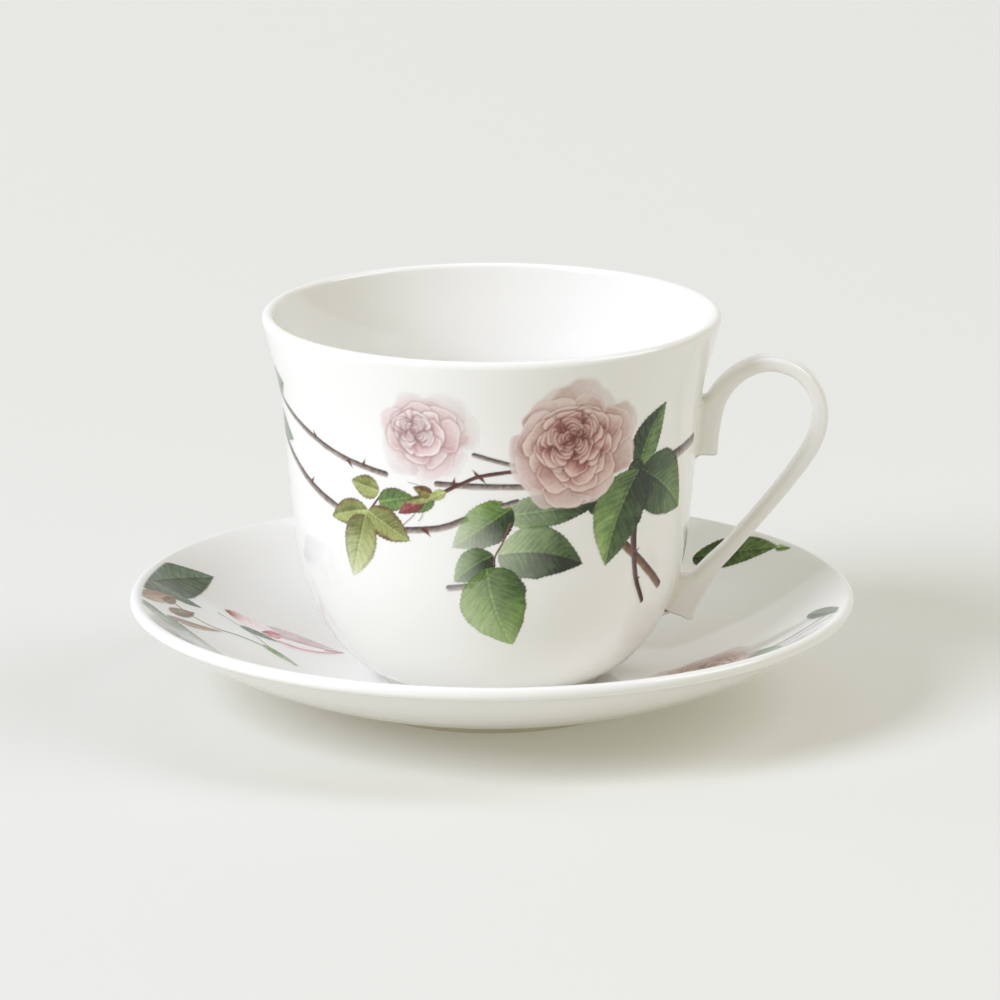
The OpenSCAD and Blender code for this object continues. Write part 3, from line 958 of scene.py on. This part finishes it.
def leaves_middle(c):
    leaf(c, (3.2, 55.8), (25.2, 56.8), 4.3, GREEN, bend=0.03, left=0.22, right=0.30, sun=(-1, 0, 0.30),
         fade=(-1.3, 0, 0.12), seed=5)
    leaf(c, (1.4, 46.6), (22.4, 43), 6.6, GREEN, bend=0.09, left=0.38, right=0.13, sun=(-0.9, 0.3, 0.26),
         fade=(-1.3, 0.1, 0.16), seed=6)
    leaf(c, (4.6, 57.8), (-9.4, 48), 5.2, BRIGHT, left=0.16, right=0.47, sun=(-0.8, 0.4, 0.18),
         fade=(-0.8, -0.6, 0.36), seed=7)
    leaf(c, (0.4, 46.4), (-9.2, 39.6), 4.1, GREEN, bend=-0.05, left=0.12, right=0.42,
         sun=(-0.8, -0.3, 0.2), fade=(-0.9, -0.3, 0.25), seed=8)
    stem(c, [(-10.2, 38.1), (-8, 38.4), (-5, 39)], 1.7, TWIG, taper=0.2, strength=0.8)
    leaf(c, (-1.2, 43.2), (5.6, 23.2), 8.3, BRIGHT, bend=-0.06, left=0.40, right=0.48,
         sun=(-0.45, -0.8, 0.24), fade=(-1.2, -0.4, 0.15), seed=9)
    stem(c, [(4.3, 54), (2.6, 49.6), (0.9, 46.4), (0.5, 44.2)], 0.45, CUT)
    stem(c, [(2.8, 58.4), (5.8, 59.3)], 1.3, TWIG)


def leaves_left(c):
    stem(c, [(-32.5, 52.6), (-30.6, 54.4), (-26.8, 59)], 0.5, BROWN)
    leaf(c, (-27.2, 60), (-35.2, 61.4), 3.0, SPRING, left=0.62, right=0.46, veins=5, rim=0.5, seed=11)
    leaf(c, (-27.4, 57.4), (-18.0, 59.6), 2.9, bend=0.02, left=0.36, veins=5, rim=0.3, seed=12)
    leaf(c, (-30.6, 54.8), (-42.8, 51.2), 3.3, SPRING, bend=-0.04, left=0.62, right=0.42, rim=0.75,
         seed=13)
    leaf(c, (-30.6, 54.8), (-19.4, 48.8), 4.0, SPRING, left=0.38, right=0.60, rim=0.85, seed=14)
    leaf(c, (-31.4, 53.6), (-36.8, 37.8), 4.9, SPRING, left=0.60, sun=(0, -1, 0.24),
         fade=(-0.3, -0.9, 0.18), rim=0.4, seed=15)


def bud(c):
    """A closed red bud in its green sepals."""
    leaf(c, (-13.4, 60), (-19.2, 55.8), 2.0, left=0.42, right=0.34, veins=3, seed=22)
    leaf(c, (-15.6, 59.4), (-22.4, 55.2), 1.8, RED, left=0.25, right=0.5, veins=1, seed=21)
    leaf(c, (-13.4, 60), (-20.6, 58.2), 1.1, SPRING, left=0.5, right=0.3, veins=2, seed=23)
    leaf(c, (-13.6, 60.4), (-18.4, 62), 1.5, RUSSET, left=0.4, right=0.3, veins=2, seed=24)
    leaf(c, (-10.6, 61.4), (-14.8, 59.4), 1.3, SPRING, left=0.6, right=0.75, veins=2, seed=25)
    stem(c, [(-17.4, 57), (-18.6, 55), (-21.2, 52.6)], 0.3, BROWN, strength=0.7)
    stem(c, [(-16, 56.6), (-16.4, 55), (-17.2, 54)], 0.25, BROWN, strength=0.7)
    stem(c, [(-15.5, 61.6), (-17, 62.6), (-19.5, 63)], 0.25, BROWN, strength=0.5)


def trailing_leaves(c):
    """Pale leaves beyond the long stems, out of the middle of the spray."""
    leaf(c, (-74, 77), (-61, 79.5), 3.6, COOL, left=0.5, right=0.36, seed=31)
    leaf(c, (-76, 68.4), (-59.5, 66), 3.0, GREY, left=0.42, right=0.6, seed=32)
    leaf(c, (-84, 71), (-96, 62), 4.5, left=0.4, right=0.6, seed=33)


def spray(c, seed, reach=LONG):
    """The spray of two roses, their leaves and stems, as far as u = -reach."""
    if reach == LONG:
        trailing_leaves(c)
    long_stems(c, reach)
    stems_between(c)
    leaves_right(c)
    leaves_middle(c)
    leaves_left(c)
    bud(c)
    rose(c, (-14.1, 74.8), PALE_ROSE, seed + 3, heart=(-3.6, 0.8), groups=4)
    rose(c, (19.8, 70.9), FULL_ROSE, seed, heart=(-1.4, 2.8), squash=0.93)


# Places round the cup are measured at this radius. Up the wall they follow its outline, counted so
# that they are true heights where the belly ends
PAINT_R = 48.0
OUTSIDE_RUN = np.concatenate([[0], np.cumsum(np.linalg.norm(np.diff(outside, axis=0), axis=1))])
OUTSIDE_V = OUTSIDE_RUN - np.interp(belly_end[1], outside[:, 1], OUTSIDE_RUN) + belly_end[1]


def on_cup(u, v):
    """Points of the cup's outside, just proud of the glaze."""
    angle = u / PAINT_R - math.pi / 2
    r = np.interp(v, OUTSIDE_V, outside[:, 0]) + PRINT_T
    return np.stack([r * np.cos(angle), r * np.sin(angle), np.interp(v, OUTSIDE_V, outside[:, 1])], -1)


def on_saucer(x, y):
    """Points of the saucer's top, just proud of the glaze."""
    return np.stack([x, y, np.interp(np.hypot(x, y), saucer_top[:, 0], saucer_top[:, 1]) + PRINT_T], -1)


# The cup's prints: their lowest and highest place, how far the front one reaches towards the handle
# and how long the back one is. They meet on the side away from the handle, SEAM from the front
PRINT_LOW, PRINT_HIGH = 22.0, 89.0
FRONT_REACH, BACK_LENGTH, SEAM = 68.0, 150.0, math.radians(81)
# Spacing of the painted points, coarse and fine
CUP_STEPS, SAUCER_STEPS = (0.4, 0.2), (0.5, 0.22)


def cup_prints():
    """The same spray goes on the front and on the back."""
    step = CUP_STEPS[1]
    round_cup = TURN * PAINT_R
    half_turn = round_cup / 2
    seam = -PAINT_R * SEAM
    front = Canvas(seam, FRONT_REACH, PRINT_LOW, PRINT_HIGH, step)
    spray(front, 5)
    spray(front.moved(half_turn - round_cup), 9, SHORT)
    back = Canvas(seam + round_cup - BACK_LENGTH, seam + round_cup, PRINT_LOW, PRINT_HIGH, step)
    spray(back.moved(half_turn), 9, SHORT)
    spray(back.moved(round_cup), 5)
    sheet("cup_front_print", front, on_cup, "cup_front_transfer", CUP_PRINT, "cup")
    sheet("cup_back_print", back, on_cup, "cup_back_transfer", CUP_PRINT, "cup")


# Places on the saucer are x and y from its middle, with the front at negative y

def saucer_left_spray(c):
    leaf(c, (-84, 4), (-66.6, 32), 7.0, GREY, bend=0.05, left=0.46, right=0.32, sun=(0.5, 0.8, 0.16),
         seed=41)
    leaf(c, (-83, 9), (-68.4, 12.5), 2.6, GREY, left=0.5, right=0.4, seed=42)
    stem(c, [(-82, 12), (-78, 7.5), (-72, 4), (-66, 3.2), (-59, 5), (-52, 3), (-46, -3)], 0.5, CUT)
    leaf(c, (-82.5, -4), (-75.4, 9.5), 2.6, HUSK, left=0.45, right=0.75, veins=3, seed=43)
    leaf(c, (-77, 2), (-74.8, 9.6), 1.3, HUSK, left=0.1, right=0.3, veins=2, seed=53)
    leaf(c, (-75.4, -3), (-70.2, 6.8), 1.9, HUSK, left=0.35, right=0.12, veins=3, seed=44)
    leaf(c, (-76, -9), (-63.4, 3), 1.6, HUSK, left=0.35, right=0.62, veins=3, seed=45)
    leaf(c, (-82, -7), (-69, -21), 2.6, GREY, left=0.45, right=0.7, fade=(0.2, -0.9, 0.5), seed=46)
    leaf(c, (-76, -8), (-60, -24), 2.0, GREY, left=0.4, right=0.75, fade=(0.4, -0.9, 0.6), seed=47)
    leaf(c, (-55, 16.6), (-35.8, 14.8), 3.4, ASH, left=0.55, right=0.35, veins=2, seed=48)
    leaf(c, (-53, 12.2), (-35.2, 14.0), 2.5, PINK, bend=-0.06, left=0.95, right=0.62, veins=2, seed=49)
    stem(c, [(-50.6, 11.4), (-45.6, 10.6), (-40, 12), (-35.6, 14)], 0.55, RED, strength=0.75)
    stem(c, [(-39.4, 13.8), (-35.6, 14.1)], 0.9, RED, strength=0.7)
    leaf(c, (-50.6, 14.2), (-63.6, 18.2), 3.0, PINK, left=0.95, right=0.80, sun=(-1, 0.3, -0.30),
         veins=3, seed=50)
    leaf(c, (-57.6, 17.0), (-63.8, 18.2), 2.1, RED, left=0.55, right=0.85, fade=(1, 0, 0.9), veins=1,
         seed=51)
    leaf(c, (-50.2, 14.8), (-54.8, 13.2), 2.0, PINK, left=0.2, right=0.1, veins=1, seed=52)
    leaf(c, (-59.8, 12.2), (-50.2, 10.4), 1.5, GREY, left=0.5, right=0.66, veins=3, seed=55)
    leaf(c, (-54, 5), (-45, -3), 1.4, left=0.5, right=0.66, fade=(0.7, -0.7, 0.3), veins=3, seed=56)
    stem(c, [(-65, 14.6), (-60, 12), (-56, 9), (-52, 4)], 0.35, GREY, strength=0.8)


def saucer_right_spray(c):
    leaf(c, (49, 53.5), (69.4, 42.6), 5.0, bend=0.03, left=0.26, right=0.22, sun=(0.8, -0.3, 0.2),
         seed=61)
    leaf(c, (68.6, 42.8), (74.2, 39.2), 1.6, GREEN, left=0.8, right=0.45, veins=2, seed=64)
    leaf(c, (74.6, -3), (81.4, -20), 2.3, GREY, left=0.5, right=0.36, seed=62)
    stem(c, [(60, -19), (66, -17.6), (73, -16.4), (80.5, -14.5)], 0.7, BROWN)
    stem(c, [(62, -22), (70, -21.5), (79, -20)], 0.4, COOL)
    leaf(c, (60, -14), (67, -30), 3.8, COOL, left=0.5, right=0.4, fade=(0.2, -0.9, 0.3), seed=63)
    dusty = [(r * 0.82, count, half * 0.86, depth * 0.86, inner, rim, 0.62)
             for r, count, half, depth, inner, rim, _ in FULL_ROSE]
    rose(c, (49, -13), dusty, 17)


# Where the ink begins on the saucer and how softly, and how far from the edge it ends
WELL_CLEAR, WELL_FADE = 36, 2.5
RIM_CLEAR, RIM_FADE = 2.8, 0.3


def clear_well(c):
    """Keeps the ink off the well and the saucer's edge."""
    r = np.hypot(c.u, c.v)
    c.cover *= soft_step(r - WELL_CLEAR, WELL_FADE) * soft_step(SAUCER_R - RIM_CLEAR - r, RIM_FADE)


def saucer_prints():
    step = SAUCER_STEPS[1]
    left = Canvas(-83.0, -30.0, -40.0, 45.0, step)
    saucer_left_spray(left)
    right = Canvas(30.0, 83.0, -52.0, 58.0, step)
    saucer_right_spray(right)
    for name, canvas in (("left", left), ("right", right)):
        clear_well(canvas)
        sheet("saucer_%s_print" % name, canvas, on_saucer, "saucer_%s_transfer" % name, SAUCER_PRINT,
              "saucer")


# ---- China ------------------------------------------------------------------------------------

def china():
    lathe("cup_bowl_glazed", bowl_outline(), CUP_GLAZE, "cup", ["cup_bowl"])
    cup_foot = foot_outline(CUP_FOOT_HIGH[0], CUP_FOOT_W, CUP_FOOT_LOW[2], BOWL_Z - CUP_FOOT_LOW[2])
    lathe("cup_foot", cup_foot, BARE, "cup", ["cup_foot_ring"], closed=True)
    lathe("saucer_dish_glazed", saucer_outline(), SAUCER_GLAZE, "saucer", ["saucer_dish"])
    saucer_foot = foot_outline(root_r, DISH_FOOT_W, 0, DISH_Z)
    lathe("saucer_foot", saucer_foot, BARE, "saucer", ["saucer_foot_ring"], closed=True)


studio()
china()
handle()
cup_prints()
saucer_prints()
